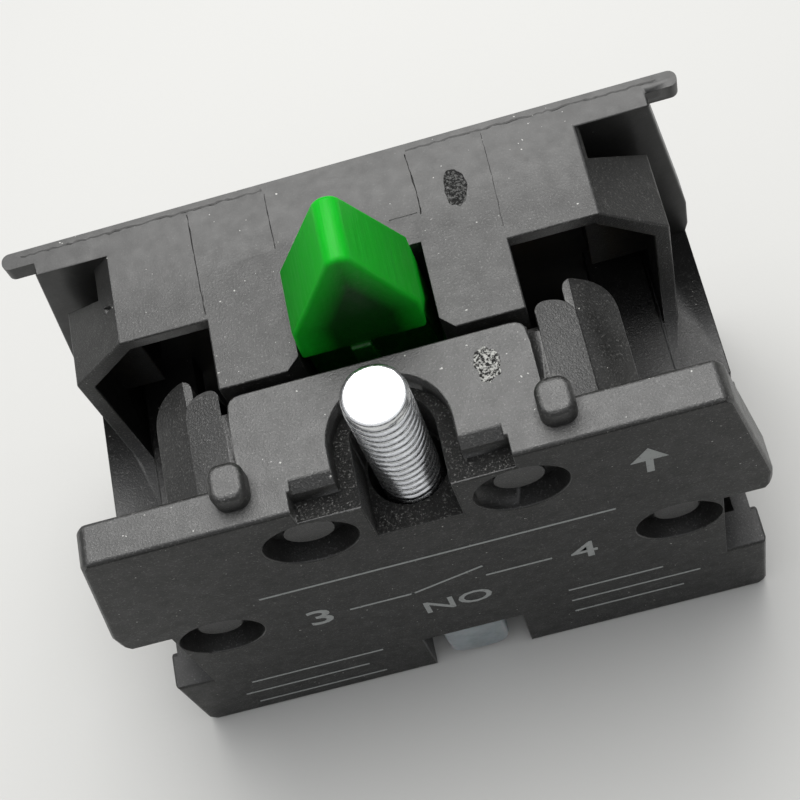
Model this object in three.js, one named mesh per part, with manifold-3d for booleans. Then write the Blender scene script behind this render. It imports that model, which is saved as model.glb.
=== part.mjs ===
// Contact block of an industrial panel push button: one normally open contact.
// A green wedge plunger on top is pushed down by the button's head. It carries a spring-loaded contact
// bridge onto two fixed contacts. A captive screw beside it fastens the block to the head's collar.
//
// Frame: millimetres, origin at the bottom centre. +X is along the block, from terminal to terminal,
// -Y is the side with the cover plate, and +Z is the way the plunger points, towards the panel.

import * as THREE from 'three';
import { mergeVertices } from 'three/addons/utils/BufferGeometryUtils.js';
import Module from 'manifold-3d';

// ---------------------------------------------------------------- driving dimensions

const TOP = 32.0;              // height of the two shells
const DEPTH = 21.2;            // cover plate's outer face to the back plate's outer face
const FRONT = -DEPTH / 2;
const BACK = DEPTH / 2;
const GAP = 0.3;               // clearance between pieces that touch on the real object

// Outline that the cover plate and the back plate share, as half widths
const TOP_HALF = 18.4;
const FLARE_HALF = 20.5;
const FLARE_Z = 20.0;
const SHELF_Z = 16.5;
const SHELF_HALF = 20.3;
const WAIST_HALF = 19.6;
const FOOT_HALF = 20.1;
const FOOT_Z = 8.4;
const SOLE_HALF = 19.7;

const COVER_PLATE = 2.6;       // thickness of the cover's outer plate
const BACK_PLATE = 2.0;        // thickness of the housing's back plate
const WALL = 1.1;
const FLOOR = 2.0;             // thickness of the bottom wall

const COVER_EDGE = -2.7;       // where the cover's centre block ends
const HOUSING_EDGE = -2.1;     // where the housing's centre block starts
const COVER_BLOCK_HALF = 8.7;
const LEDGE_HALF = 6.2;        // ledge along the front of the cover's top, beside the screw
const LEDGE_WIDTH = 1.3;
const LEDGE_DEPTH = 1.7;
const ARCH_HALF = 3.55;        // round recess about the screw, as deep as the ledge
const NUB = { x: 9.2, y: FRONT + 2.2, halfX: 1.05, halfY: 1.2, corner: 0.8, height: 1.5 };
const CENTRE_HALF = 8.97;      // half width of the housing's centre block
const WING_EDGE = 2.5;         // near edge of the two hoods over the terminals
const WING_HALF = 18.2;
const RAMP_START = 14.3;       // where the hood's top turns down into a ramp
const RAMP_Z = 28.4;
const EAR_HALF = 20.8;
const EAR_DEPTH = 1.1;
const EAR_HEIGHT = 1.2;

// Plunger
const RELIEF = 0.8;            // how far the plunger's near face is set back under the wedge
const PLUNGER_Y = 1.15;        // middle of the plunger and of everything that it carries
const PLUNGER_HALF_X = 3.7;
const PLUNGER_HALF_Y = 2.35;
const APEX_Z = 39.9;
const STEM_HALF_X = 3.4;
const STEM_BOTTOM = 10.0;
const SLOT_HALF = 4.1;
const GUIDE_BOTTOM = 25.0;
const WINDOW = [16.0, 24.2];   // heights of the opening in the stem that holds the bridge

// Contacts
const STRIP_Z = [11.1, 12.1];  // the fixed contacts' strip
const FIXED_TIP_TOP = 13.0;
const CONTACT_GAP = 2.6;       // open contact's gap
const TIP_HEIGHT = 0.7;
const BRIDGE_THICKNESS = 0.8;
const BRIDGE_HALF_X = 7.2;
const BRIDGE_HALF_Y = 1.2;
const TIP_X = 6.0;
const TIP_RADIUS = 1.2;
const BRIDGE_BOTTOM = FIXED_TIP_TOP + CONTACT_GAP + TIP_HEIGHT;
const BRIDGE_TOP = BRIDGE_BOTTOM + BRIDGE_THICKNESS;

// Terminals, M3.5
const TERMINAL_X = 12.3;
const TERMINAL_Y = 1.8;
const TERMINAL_RADIUS = 1.75;
const TERMINAL_TIP = 12.3;
const TERMINAL_HEAD = [3.4, 5.9];
const TERMINAL_HEAD_RADIUS = 2.7;
const LOCK_WASHER = [6.2, 7.0];
const CLAMP = [7.3, 8.3];
const CLAMP_HALF = 2.8;

// Mounting screw, M4, with its retaining clip
const SCREW_Y = FRONT + 3.76;
const SCREW_RADIUS = 1.93;
const SCREW_TIP = TOP + 3.9;
const SCREW_SHANK = 5.9;       // height where the full shank starts, above the waist
const SCREW_WAIST_RADIUS = 1.4;
const SCREW_HEAD = [0.9, 3.2];
const SCREW_HEAD_RADIUS = 2.3;
const SCREW_WASHER = [3.5, 3.9];
const SCREW_BORE = 2.36;
const CLIP_FORK = [4.7, 5.6];
const BAY_HALF = 3.4;          // the window at the cover's lower edge
const BAY_TOP = 5.9;

// Staked pegs that hold the cover on the housing
const PEGS = [[6.15, 27.25, 2.8], [14.65, 16.04, 2.7]];  // x, z, counterbore radius
const PEG_RADIUS = 1.1;
const PEG_HEAD_RADIUS = 1.5;
const PEG_HEAD = 0.45;          // thickness of a peg's flattened head
const COUNTERBORE_DEPTH = 1.5;

const SIDES = [['left', -1], ['right', 1]];

// ---------------------------------------------------------------- solids

const wasm = await Module();
wasm.setup();

function solid(geometry) {
  const plain = geometry.clone();
  plain.deleteAttribute('normal');
  plain.deleteAttribute('uv');
  const merged = mergeVertices(plain, 1e-4);
  return new wasm.Manifold(new wasm.Mesh({
    numProp: 3,
    vertProperties: new Float32Array(merged.attributes.position.array),
    triVerts: new Uint32Array(merged.index.array),
  }));
}

function join(solids) {
  return solids.reduce((all, next) => all.add(next));
}

function cut(body, tools) {
  return tools.reduce((left, tool) => left.subtract(tool), body);
}

// A block between two corners' coordinates, each given as [low, high] in either order
function block(x, y, z) {
  const size = [x, y, z].map(([low, high]) => Math.abs(high - low));
  const middle = [x, y, z].map(([low, high]) => (low + high) / 2);
  return solid(new THREE.BoxGeometry(...size).translate(...middle));
}

function shapeOf(points) {
  return new THREE.Shape(points.map(([a, b]) => new THREE.Vector2(a, b)));
}

// A flat shape in X and Z, pulled along Y
function alongY(shape, [low, high], curveSegments = 10) {
  const options = { depth: high - low, bevelEnabled: false, curveSegments };
  return solid(new THREE.ExtrudeGeometry(shape, options).rotateX(Math.PI / 2).translate(0, high, 0));
}

// A flat shape in X and Y, pulled along Z
function alongZ(shape, [low, high], curveSegments = 10) {
  const options = { depth: high - low, bevelEnabled: false, curveSegments };
  return solid(new THREE.ExtrudeGeometry(shape, options).translate(0, 0, low));
}

// A flat shape in Y and Z, pulled along X
function alongX(shape, [low, high], curveSegments = 10) {
  const options = { depth: high - low, bevelEnabled: false, curveSegments };
  const turned = new THREE.ExtrudeGeometry(shape, options).rotateX(Math.PI / 2).rotateZ(Math.PI / 2);
  return solid(turned.translate(low, 0, 0));
}

function rodZ(radius, x, y, [low, high], sides = 24) {
  const rod = new THREE.CylinderGeometry(radius, radius, high - low, sides).rotateX(Math.PI / 2);
  return solid(rod.translate(x, y, (low + high) / 2));
}

function rodY(radius, x, z, [low, high], sides = 24) {
  const rod = new THREE.CylinderGeometry(radius, radius, high - low, sides);
  return solid(rod.translate(x, (low + high) / 2, z));
}

// A body of revolution about a vertical axis, from [radius, height] points that start and end on it
function turned(points, x, y, sides = 24) {
  const profile = points.map(([radius, height]) => new THREE.Vector2(radius, height));
  return solid(new THREE.LatheGeometry(profile, sides).rotateX(Math.PI / 2).translate(x, y, 0));
}

function mirrored(points) {
  return [...points, ...points.map(([a, b]) => [-a, b]).reverse()];
}

// A slot that ends in a half circle about (x, y), open towards -Y
function archSlot(half, x, y, openY) {
  const shape = new THREE.Shape();
  shape.moveTo(x - half, openY);
  shape.lineTo(x + half, openY);
  shape.lineTo(x + half, y);
  shape.absarc(x, y, half, 0, Math.PI, false);
  return shape;
}

// A rectangle about (x, y) with round corners
function roundedBlock(x, y, { halfX, halfY, corner }) {
  const shape = new THREE.Shape();
  shape.moveTo(x - halfX + corner, y - halfY);
  for (const [side, far] of [[1, -1], [1, 1], [-1, 1], [-1, -1]]) {
    const start = Math.atan2(far, side) - Math.PI / 4;
    const centre = [x + side * (halfX - corner), y + far * (halfY - corner)];
    shape.absarc(...centre, corner, start, start + Math.PI / 2, false);
  }
  return shape;
}

// ---------------------------------------------------------------- materials

function plastic(color, roughness = 0.6) {
  return new THREE.MeshStandardMaterial({ color, roughness, metalness: 0 });
}

function metal(color, roughness = 0.3) {
  return new THREE.MeshStandardMaterial({ color, roughness, metalness: 1 });
}

const group = new THREE.Group();

function place(name, body, material) {
  const { vertProperties, triVerts } = body.getMesh();
  const geometry = new THREE.BufferGeometry();
  geometry.setAttribute('position', new THREE.BufferAttribute(vertProperties, 3));
  geometry.setIndex(new THREE.BufferAttribute(triVerts, 1));
  geometry.computeVertexNormals();
  const mesh = new THREE.Mesh(geometry, material);
  mesh.name = name;
  group.add(mesh);
}

// ---------------------------------------------------------------- shells

const END_LINE = [
  [SHELF_HALF, SHELF_Z], [WAIST_HALF, SHELF_Z - 0.8], [WAIST_HALF, FOOT_Z - 0.2],
  [FOOT_HALF, FOOT_Z - 0.8], [FOOT_HALF, 0.8], [SOLE_HALF, 0],
];

function backPlate() {
  const half = [[TOP_HALF + 0.4, TOP], [FLARE_HALF, FLARE_Z], [FLARE_HALF, SHELF_Z + 1], ...END_LINE];
  return alongY(shapeOf(mirrored(half)), [BACK - BACK_PLATE, BACK]);
}

// The cover's plate has a notch in each end, beside the wire entry
function coverPlate() {
  const notch = 17.45;
  const half = [
    [TOP_HALF - 0.4, TOP], [TOP_HALF, TOP - 0.6], [FLARE_HALF, FLARE_Z + 0.2], [FLARE_HALF, FLARE_Z - 1],
    [FLARE_HALF - 0.5, FLARE_Z - 2.1], [notch, FLARE_Z - 2.1], [notch, FOOT_Z], [FOOT_HALF, FOOT_Z],
    [FOOT_HALF, 0.8], [SOLE_HALF, 0],
  ];
  return alongY(shapeOf(mirrored(half)), [FRONT, FRONT + COVER_PLATE]);
}

// Floor, lower end walls and the shelf at each end, which both shells have between their plates
function lowerWalls([near, far]) {
  const pieces = [block([-SOLE_HALF, SOLE_HALF], [near, far], [0, FLOOR])];
  for (const [, side] of SIDES) {
    pieces.push(block([side * (SOLE_HALF - WALL), side * SOLE_HALF], [near, far], [0, FOOT_Z]));
    pieces.push(block([side * 16.9, side * SHELF_HALF], [near, far], [SHELF_Z - 1.2, SHELF_Z]));
  }
  return pieces;
}

// Hood over one terminal: top wall, ramp and end wall, hollow and open towards the cover
function hood(side) {
  const far = BACK - BACK_PLATE;
  const outer = [
    [CENTRE_HALF - 0.5, TOP], [RAMP_START, TOP], [WING_HALF, RAMP_Z], [WING_HALF, SHELF_Z - 1.2],
    [CENTRE_HALF - 0.5, SHELF_Z - 1.2],
  ];
  const inner = [
    [CENTRE_HALF, TOP - 1], [RAMP_START - 0.4, TOP - 1], [WING_HALF - 1, RAMP_Z - 0.6],
    [WING_HALF - 1, SHELF_Z - 2], [CENTRE_HALF, SHELF_Z - 2],
  ];
  const flip = ([x, z]) => [side * x, z];
  const body = alongY(shapeOf(outer.map(flip)), [WING_EDGE, far + 0.1]);
  const hollow = alongY(shapeOf(inner.map(flip)), [WING_EDGE - 1, far]);
  return cut(body, [hollow]);
}

// Open corner behind the ramp, between the hood and the back plate, with the wall that closes the hood.
// Its near edge lies further back at the end of the block than beside the top wall.
function hoodCorner(side, inner) {
  const near = 6.5;
  const nearAtEnd = 7.8;
  const far = BACK - BACK_PLATE;
  const outer = WING_HALF + 0.2;
  const wall = block([side * (inner - 1), side * (WING_HALF - 0.5)], [near - 1, far], [21, 28]);
  const opening = alongZ(shapeOf([
    [side * inner, near], [side * outer, nearAtEnd], [side * outer, far], [side * inner, far],
  ]), [22, TOP + 1]);
  return { wall, opening };
}

function ear(side) {
  const shape = new THREE.Shape();
  const near = BACK - EAR_DEPTH;
  const round = 0.4;
  const tip = side * EAR_HALF;
  shape.moveTo(side * (TOP_HALF - 1), near);
  shape.lineTo(tip - side * round, near);
  shape.quadraticCurveTo(tip, near, tip, near + round);
  shape.lineTo(tip, BACK - round);
  shape.quadraticCurveTo(tip, BACK, tip - side * round, BACK);
  shape.lineTo(side * (TOP_HALF - 1), BACK);
  return alongZ(shape, [TOP - EAR_HEIGHT, TOP], 4);
}

// Shaft through the housing's centre block in which the plunger runs, wider at the near corners
function plungerShaft() {
  const far = PLUNGER_Y + PLUNGER_HALF_Y + GAP;
  const chamfer = 0.8;
  const shape = shapeOf([
    [-SLOT_HALF - chamfer, HOUSING_EDGE - 1], [SLOT_HALF + chamfer, HOUSING_EDGE - 1],
    [SLOT_HALF + chamfer, HOUSING_EDGE], [SLOT_HALF, HOUSING_EDGE + chamfer], [SLOT_HALF, far],
    [-SLOT_HALF, far], [-SLOT_HALF, HOUSING_EDGE + chamfer], [-SLOT_HALF - chamfer, HOUSING_EDGE],
  ]);
  return alongZ(shape, [GUIDE_BOTTOM - 1, TOP + 1]);
}

function rearHousing() {
  const far = BACK - BACK_PLATE;
  const pieces = [backPlate(), ...lowerWalls([HOUSING_EDGE, far + 0.1])];
  const openings = [];

  // Centre block: a thick top that guides the plunger, and a partition on each side
  const ceiling = block([-CENTRE_HALF, CENTRE_HALF], [HOUSING_EDGE, far + 0.1], [GUIDE_BOTTOM, TOP]);
  const hollows = SIDES.map(([, side]) => {
    const across = [side * (SLOT_HALF + 1.9), side * (CENTRE_HALF - WALL)];
    return block(across, [HOUSING_EDGE - 1, far], [GUIDE_BOTTOM - 1, TOP - 1.5]);
  });
  const shaftWall = PLUNGER_Y + PLUNGER_HALF_Y + GAP + 1;
  const backHollow = block([-SLOT_HALF - 2, SLOT_HALF + 2], [shaftWall, far], [GUIDE_BOTTOM - 1, TOP - 1.5]);
  pieces.push(cut(ceiling, [plungerShaft(), ...hollows, backHollow]));

  for (const [name, side] of SIDES) {
    const partition = [side * (CENTRE_HALF - WALL), side * CENTRE_HALF];
    pieces.push(block(partition, [HOUSING_EDGE, far + 0.1], [0, TOP - 1]));
    pieces.push(hood(side));
    pieces.push(ear(side));
    const corner = hoodCorner(side, name === 'left' ? 15.5 : 14.6);
    pieces.push(corner.wall);
    openings.push(corner.opening);

    // Slot in the partition for the fixed contact, and the notch for the screwdriver in the floor
    openings.push(block(
      [side * (CENTRE_HALF - 2), side * (CENTRE_HALF + 0.5)], [HOUSING_EDGE - 1, TERMINAL_Y + 2.7],
      [STRIP_Z[0] - GAP, STRIP_Z[1] + GAP],
    ));
    const notch = archSlot(TERMINAL_HEAD_RADIUS + GAP, side * TERMINAL_X, TERMINAL_Y, HOUSING_EDGE - 1);
    openings.push(alongZ(notch, [-1, FLOOR + 1]));

    // Rib beside the shelf, over the fixed contact, which also carries the lower peg
    pieces.push(block([side * 13.4, side * 17], [HOUSING_EDGE, far + 0.1], [14.8, SHELF_Z + 0.8]));
  }

  // Seat that keeps the return spring central
  pieces.push(rodZ(1.2, 0, PLUNGER_Y, [1, FLOOR + 1.2], 16));
  return join([cut(join(pieces), openings), ...pegs()]);
}

// Pegs stand on the centre block and on the ribs, pass through the cover and end in a staked head
function pegs() {
  const headBase = FRONT + COUNTERBORE_DEPTH - GAP;
  const solids = [];
  for (const [x, z] of PEGS) {
    for (const [, side] of SIDES) {
      solids.push(rodY(PEG_RADIUS, side * x, z, [headBase - 0.2, HOUSING_EDGE + 0.5], 16));
      solids.push(rodY(PEG_HEAD_RADIUS, side * x, z, [headBase - PEG_HEAD, headBase], 20));
    }
  }
  return solids;
}

// Outline of a ledge that runs back from the cover plate and has rounded far corners
function ledge(side, [inner, outer], [near, far], innerRound, outerRound) {
  const shape = new THREE.Shape();
  shape.moveTo(side * inner, near);
  shape.lineTo(side * outer, near);
  shape.lineTo(side * outer, far - outerRound);
  shape.quadraticCurveTo(side * outer, far, side * (outer - outerRound), far);
  shape.lineTo(side * (inner + innerRound), far);
  shape.quadraticCurveTo(side * inner, far, side * inner, far - innerRound);
  return shape;
}

// Boss beside the centre block, stepping down towards the end, with two ledges over the terminal
function coverBoss(side) {
  const near = FRONT + COVER_PLATE - 0.1;
  const base = SHELF_Z + 2.5;
  const inner = CENTRE_HALF + GAP + 0.05;
  return [
    alongZ(ledge(side, [8.5, 11.65], [near, COVER_EDGE + 0.3], 0.1, 1.2), [base, TOP - 2]),
    alongZ(ledge(side, [11.6, 14.1], [near, -3.4], 0.1, 1.2), [base, TOP - 4]),
    alongZ(ledge(side, [14.05, 16.0], [near, -5.4], 0.1, 1.0), [base, TOP - 7.5]),
    alongZ(ledge(side, [8.5, 11.65], [near, -2.9], 0.1, 0.1), [TOP - 5.5, TOP - 1.5]),
    alongZ(ledge(side, [inner, 11.65], [-3.2, -1.0], 1.0, 1.3), [TOP - 5.5, TOP - 1.5]),
    alongZ(ledge(side, [11.2, 14.1], [-3.2, 0.8], 0.8, 2.0), [TOP - 7, TOP - 3.2]),
    alongZ(ledge(side, [11.6, 14.1], [near, -3.1], 0.1, 0.1), [TOP - 7, TOP - 3.2]),
  ];
}

// Wedge of air over the two ledges, whose tops fall away towards the end of the block
function ledgeSlope(side) {
  return alongY(shapeOf([
    [side * 9.2, TOP - 1.45], [side * 11.65, TOP - 2.3], [side * 11.65, TOP - 3.15], [side * 14.3, TOP - 5.1],
    [side * 14.3, TOP - 1.45],
  ]), [FRONT + COVER_PLATE, 2]);
}

function frontCover() {
  const near = FRONT + COVER_PLATE - 0.1;
  const pieces = [coverPlate(), ...lowerWalls([near, COVER_EDGE])];
  const topShape = new THREE.Shape();
  const round = 0.9;
  topShape.moveTo(-COVER_BLOCK_HALF, near);
  topShape.lineTo(COVER_BLOCK_HALF, near);
  topShape.lineTo(COVER_BLOCK_HALF, COVER_EDGE - round);
  topShape.quadraticCurveTo(COVER_BLOCK_HALF, COVER_EDGE, COVER_BLOCK_HALF - round, COVER_EDGE);
  topShape.lineTo(-COVER_BLOCK_HALF + round, COVER_EDGE);
  topShape.quadraticCurveTo(-COVER_BLOCK_HALF, COVER_EDGE, -COVER_BLOCK_HALF, COVER_EDGE - round);
  const ceiling = alongZ(topShape, [TOP - 2.5, TOP], 4);

  // Column around the mounting screw, from the ceiling to the floor
  const column = block([-4.2, 4.2], [near, SCREW_Y + 3.4], [0, TOP - 1]);
  pieces.push(ceiling, column);

  const openings = [
    alongZ(archSlot(ARCH_HALF, 0, FRONT + 3.2, FRONT - 1), [TOP - LEDGE_DEPTH, TOP + 1], 20),
    alongZ(archSlot(2.5, 0, SCREW_Y, FRONT - 1), [TOP - 6.2, TOP + 1], 20),
    rodZ(SCREW_BORE, 0, SCREW_Y, [BAY_TOP - 1, TOP], 40),
    block([-LEDGE_HALF, LEDGE_HALF], [FRONT - 1, FRONT + LEDGE_WIDTH], [TOP - LEDGE_DEPTH, TOP + 1]),
    alongX(shapeOf([
      [FRONT + LEDGE_WIDTH - 0.1, TOP - 0.6], [FRONT + 2.0, TOP + 0.01], [FRONT + 2.0, TOP + 1],
      [FRONT + LEDGE_WIDTH - 0.1, TOP + 1],
    ]), [-LEDGE_HALF + 0.2, LEDGE_HALF - 0.2]),
    block([-BAY_HALF, BAY_HALF], [FRONT - 1, SCREW_Y + 2.9], [-1, BAY_TOP]),
  ];

  for (const [, side] of SIDES) {
    const partition = [side * (COVER_BLOCK_HALF - WALL), side * COVER_BLOCK_HALF];
    pieces.push(block(partition, [near, COVER_EDGE], [0, TOP - 1]));
    pieces.push(...coverBoss(side));
    openings.push(ledgeSlope(side));
    // Locating nub on the top edge
    pieces.push(alongZ(roundedBlock(side * NUB.x, NUB.y, NUB), [TOP - 2, TOP + NUB.height], 6));
    for (const [x, z, counterbore] of PEGS) {
      openings.push(rodY(PEG_RADIUS + GAP, side * x, z, [FRONT - 1, COVER_EDGE + 1], 16));
      openings.push(rodY(counterbore, side * x, z, [FRONT - 1, FRONT + COUNTERBORE_DEPTH], 36));
    }
  }
  return cut(join(pieces), openings);
}

// ---------------------------------------------------------------- plunger, springs and contacts

function plunger() {
  const shoulder = 1.8;
  const apexRadius = 0.9;
  const nearBase = PLUNGER_Y - PLUNGER_HALF_Y;
  const farBase = PLUNGER_Y + PLUNGER_HALF_Y;

  // Wedge: a rounded triangle across the block, with the near face leaning back a little
  const lean = Math.atan2(APEX_Z - apexRadius - TOP - shoulder, PLUNGER_HALF_X - apexRadius);
  const wedge = new THREE.Shape();
  wedge.moveTo(-PLUNGER_HALF_X, TOP - 6);
  wedge.lineTo(PLUNGER_HALF_X, TOP - 6);
  wedge.lineTo(PLUNGER_HALF_X, TOP + shoulder);
  wedge.absarc(0, APEX_Z - apexRadius, apexRadius, Math.PI / 2 - lean, Math.PI / 2 + lean, false);
  wedge.lineTo(-PLUNGER_HALF_X, TOP + shoulder);
  const nearFace = alongX(shapeOf([
    [nearBase - 1, TOP], [nearBase, TOP], [nearBase + 0.5, APEX_Z + 0.1], [nearBase - 1, APEX_Z + 0.1],
  ]), [-5, 5]);
  const relief = block([-5, 5], [nearBase - 1, nearBase + RELIEF], [GUIDE_BOTTOM + 1.2, TOP - 0.7]);
  const head = cut(alongY(wedge, [nearBase, farBase], 14), [nearFace, relief]);

  const stem = block([-STEM_HALF_X, STEM_HALF_X], [nearBase, farBase], [STEM_BOTTOM, TOP - 5]);
  const shoulders = block([-4.7, 4.7], [PLUNGER_Y - 1.2, PLUNGER_Y + 1.2], [22.4, GUIDE_BOTTOM - 0.4]);
  const spigot = rodZ(1.1, 0, PLUNGER_Y, [STEM_BOTTOM - 1.6, STEM_BOTTOM + 1], 16);
  const tab = block([-0.8, 0.4], [nearBase - 0.4, nearBase + RELIEF + 0.1], [22, TOP - 0.5]);
  const opening = block([-5, 5], [PLUNGER_Y - 1.4, PLUNGER_Y + 1.4], WINDOW);
  return cut(join([head, stem, shoulders, spigot, tab]), [opening]);
}

function bridge() {
  const strip = block(
    [-BRIDGE_HALF_X, BRIDGE_HALF_X], [PLUNGER_Y - BRIDGE_HALF_Y, PLUNGER_Y + BRIDGE_HALF_Y],
    [BRIDGE_BOTTOM, BRIDGE_TOP],
  );
  // Raised boss in the middle that centres the contact spring
  return strip.add(rodZ(0.8, 0, PLUNGER_Y, [BRIDGE_TOP - 0.1, BRIDGE_TOP + 0.6], 16));
}

// Compression spring: round wire along a helix with closed flat ends
function spring(coilRadius, wireRadius, turns, [low, high]) {
  const stepsPerTurn = 14;
  const start = low + wireRadius;
  const rise = high - low - 2 * wireRadius;
  class Helix extends THREE.Curve {
    getPoint(t, target = new THREE.Vector3()) {
      const angle = 2 * Math.PI * turns * t;
      const closed = 0.12;
      const lift = THREE.MathUtils.clamp((t - closed) / (1 - 2 * closed), 0, 1);
      const coil = 2.1 * wireRadius * (THREE.MathUtils.clamp(t / closed, 0, 1)
        + THREE.MathUtils.clamp((t - 1 + closed) / closed, 0, 1));
      const height = start + lift * (rise - 4.2 * wireRadius) + coil;
      return target.set(coilRadius * Math.cos(angle), PLUNGER_Y + coilRadius * Math.sin(angle), height);
    }
  }
  const section = new THREE.Shape();
  section.absarc(0, 0, wireRadius, 0, 2 * Math.PI, false);
  return solid(new THREE.ExtrudeGeometry(section, {
    steps: turns * stepsPerTurn, extrudePath: new Helix(), curveSegments: 3, bevelEnabled: false,
  }));
}

// Contact rivet's face, from the strip that it stands on to its chamfered end
function contactTip(side, strip, end) {
  const edge = 0.2;
  const inward = Math.sign(strip - end);
  const profile = [
    [0, strip], [TIP_RADIUS, strip], [TIP_RADIUS, end + inward * edge], [TIP_RADIUS - edge, end], [0, end],
  ];
  return turned(strip < end ? profile : profile.reverse(), side * TIP_X, PLUNGER_Y, 20);
}

function fixedContact(side) {
  const halfWidth = 2.4;
  const strip = block(
    [side * (TIP_X - 1.5), side * (TERMINAL_X + 3.1)],
    [TERMINAL_Y - halfWidth, TERMINAL_Y + halfWidth],
    STRIP_Z,
  );
  const hole = rodZ(TERMINAL_RADIUS + 0.05, side * TERMINAL_X, TERMINAL_Y, [STRIP_Z[0] - 1, STRIP_Z[1] + 1]);
  return cut(strip, [hole]);
}

// ---------------------------------------------------------------- fasteners

function driverSlot(x, y, radius, [low, high], cross) {
  const half = 0.4;
  const slots = [block([x - radius, x + radius], [y - half, y + half], [low, high])];
  if (cross) slots.push(block([x - half, x + half], [y - radius * 0.62, y + radius * 0.62], [low, high]));
  return slots;
}

function terminalScrew(side) {
  const [low, high] = TERMINAL_HEAD;
  const x = side * TERMINAL_X;
  const chamfer = 0.35;
  const body = turned([
    [0, low], [TERMINAL_HEAD_RADIUS - chamfer, low], [TERMINAL_HEAD_RADIUS, low + chamfer],
    [TERMINAL_HEAD_RADIUS, high], [TERMINAL_RADIUS, high], [TERMINAL_RADIUS, TERMINAL_TIP - chamfer],
    [TERMINAL_RADIUS - chamfer, TERMINAL_TIP], [0, TERMINAL_TIP],
  ], x, TERMINAL_Y);
  return cut(body, driverSlot(x, TERMINAL_Y, TERMINAL_HEAD_RADIUS + 0.1, [low - 1, low + 1.1], true));
}

function ring(x, y, outer, inner, [low, high]) {
  return cut(rodZ(outer, x, y, [low, high]), [rodZ(inner, x, y, [low - 1, high + 1])]);
}

// Split spring washer under the terminal screw's head
function lockWasher(side) {
  const x = side * TERMINAL_X;
  const washer = ring(x, TERMINAL_Y, TERMINAL_HEAD_RADIUS, TERMINAL_RADIUS + 0.15, LOCK_WASHER);
  const [low, high] = LOCK_WASHER;
  return cut(washer, [block([x - 0.25, x + 0.25], [TERMINAL_Y, TERMINAL_Y + 4], [low - 1, high + 1])]);
}

// Square clamp with two lips that keep the wire under it
function wireClamp(side) {
  const x = side * TERMINAL_X;
  const lip = 0.4;
  const lipInner = 2.7;
  const across = [x - CLAMP_HALF, x + CLAMP_HALF];
  const pieces = [block(across, [TERMINAL_Y - lipInner - lip, TERMINAL_Y + lipInner + lip], CLAMP)];
  for (const end of [-1, 1]) {
    const y = [TERMINAL_Y + end * lipInner, TERMINAL_Y + end * (lipInner + lip)];
    pieces.push(block(across, y, [CLAMP[0], CLAMP[1] + 0.6]));
  }
  return cut(join(pieces), [rodZ(TERMINAL_RADIUS + 0.15, x, TERMINAL_Y, [CLAMP[0] - 1, CLAMP[1] + 1])]);
}

function mountingScrew() {
  const [low, high] = SCREW_HEAD;
  const chamfer = 0.5;
  const body = turned([
    [0, low], [SCREW_HEAD_RADIUS - 0.3, low], [SCREW_HEAD_RADIUS, low + 0.3], [SCREW_HEAD_RADIUS, high],
    [SCREW_WAIST_RADIUS, high], [SCREW_WAIST_RADIUS, SCREW_SHANK], [SCREW_RADIUS, SCREW_SHANK + 0.3],
    [SCREW_RADIUS, SCREW_TIP - chamfer], [SCREW_RADIUS - chamfer, SCREW_TIP], [0, SCREW_TIP],
  ], 0, SCREW_Y, 32);
  return cut(body, driverSlot(0, SCREW_Y, SCREW_HEAD_RADIUS + 0.1, [low - 1, low + 1.1], true));
}

// White clip in the window: its fork holds the screw by its waist
function screwRetainer() {
  const half = 2.1;
  const round = 1.6;
  const low = 0.75;
  const face = new THREE.Shape();
  face.moveTo(-half, CLIP_FORK[1]);
  face.lineTo(half, CLIP_FORK[1]);
  face.lineTo(half, low + round);
  face.quadraticCurveTo(half, low, half - round, low);
  face.lineTo(round - half, low);
  face.quadraticCurveTo(-half, low, -half, low + round);
  const plate = alongY(face, [FRONT + 0.15, FRONT + 1.1]);
  const forkHalf = BAY_HALF - GAP;
  const fork = block([-forkHalf, forkHalf], [FRONT + 1.0, SCREW_Y + 2.2], CLIP_FORK);
  const slot = block([-1.6, 1.6], [SCREW_Y - 1.6, SCREW_Y + 3], [CLIP_FORK[0] - 1, CLIP_FORK[1] + 1]);
  return cut(plate.add(fork), [slot]);
}

// ---------------------------------------------------------------- assembly

const black = () => plastic(0x2b2b2a);
const zinc = () => metal(0xc9ccce, 0.28);
const brass = () => metal(0xb5893e, 0.35);
const silver = () => metal(0xdadada, 0.25);
const steel = () => metal(0x9b9b98, 0.4);

place('rear_housing', rearHousing(), black());
place('front_cover', frontCover(), black());
place('plunger', plunger(), plastic(0x1f9a34, 0.4));
place('contact_bridge', bridge(), brass());
place('contact_spring', spring(1.15, 0.2, 6, [BRIDGE_TOP + 0.05, WINDOW[1] - 0.05]), steel());
place('return_spring', spring(1.85, 0.25, 6, [FLOOR + 0.05, STEM_BOTTOM - 0.05]), steel());

for (const [name, side] of SIDES) {
  place(`bridge_tip_${name}`, contactTip(side, BRIDGE_BOTTOM, BRIDGE_BOTTOM - TIP_HEIGHT), silver());
  place(`fixed_contact_${name}`, fixedContact(side), brass());
  place(`fixed_tip_${name}`, contactTip(side, STRIP_Z[1], FIXED_TIP_TOP), silver());
  place(`terminal_screw_${name}`, terminalScrew(side), zinc());
  place(`lock_washer_${name}`, lockWasher(side), steel());
  place(`wire_clamp_${name}`, wireClamp(side), zinc());
}

place('mounting_screw', mountingScrew(), zinc());
place('screw_washer', ring(0, SCREW_Y, SCREW_HEAD_RADIUS, SCREW_WAIST_RADIUS + 0.15, SCREW_WASHER), steel());
place('screw_retainer', screwRetainer(), plastic(0xdfe3e2, 0.45));

export default group;
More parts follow.
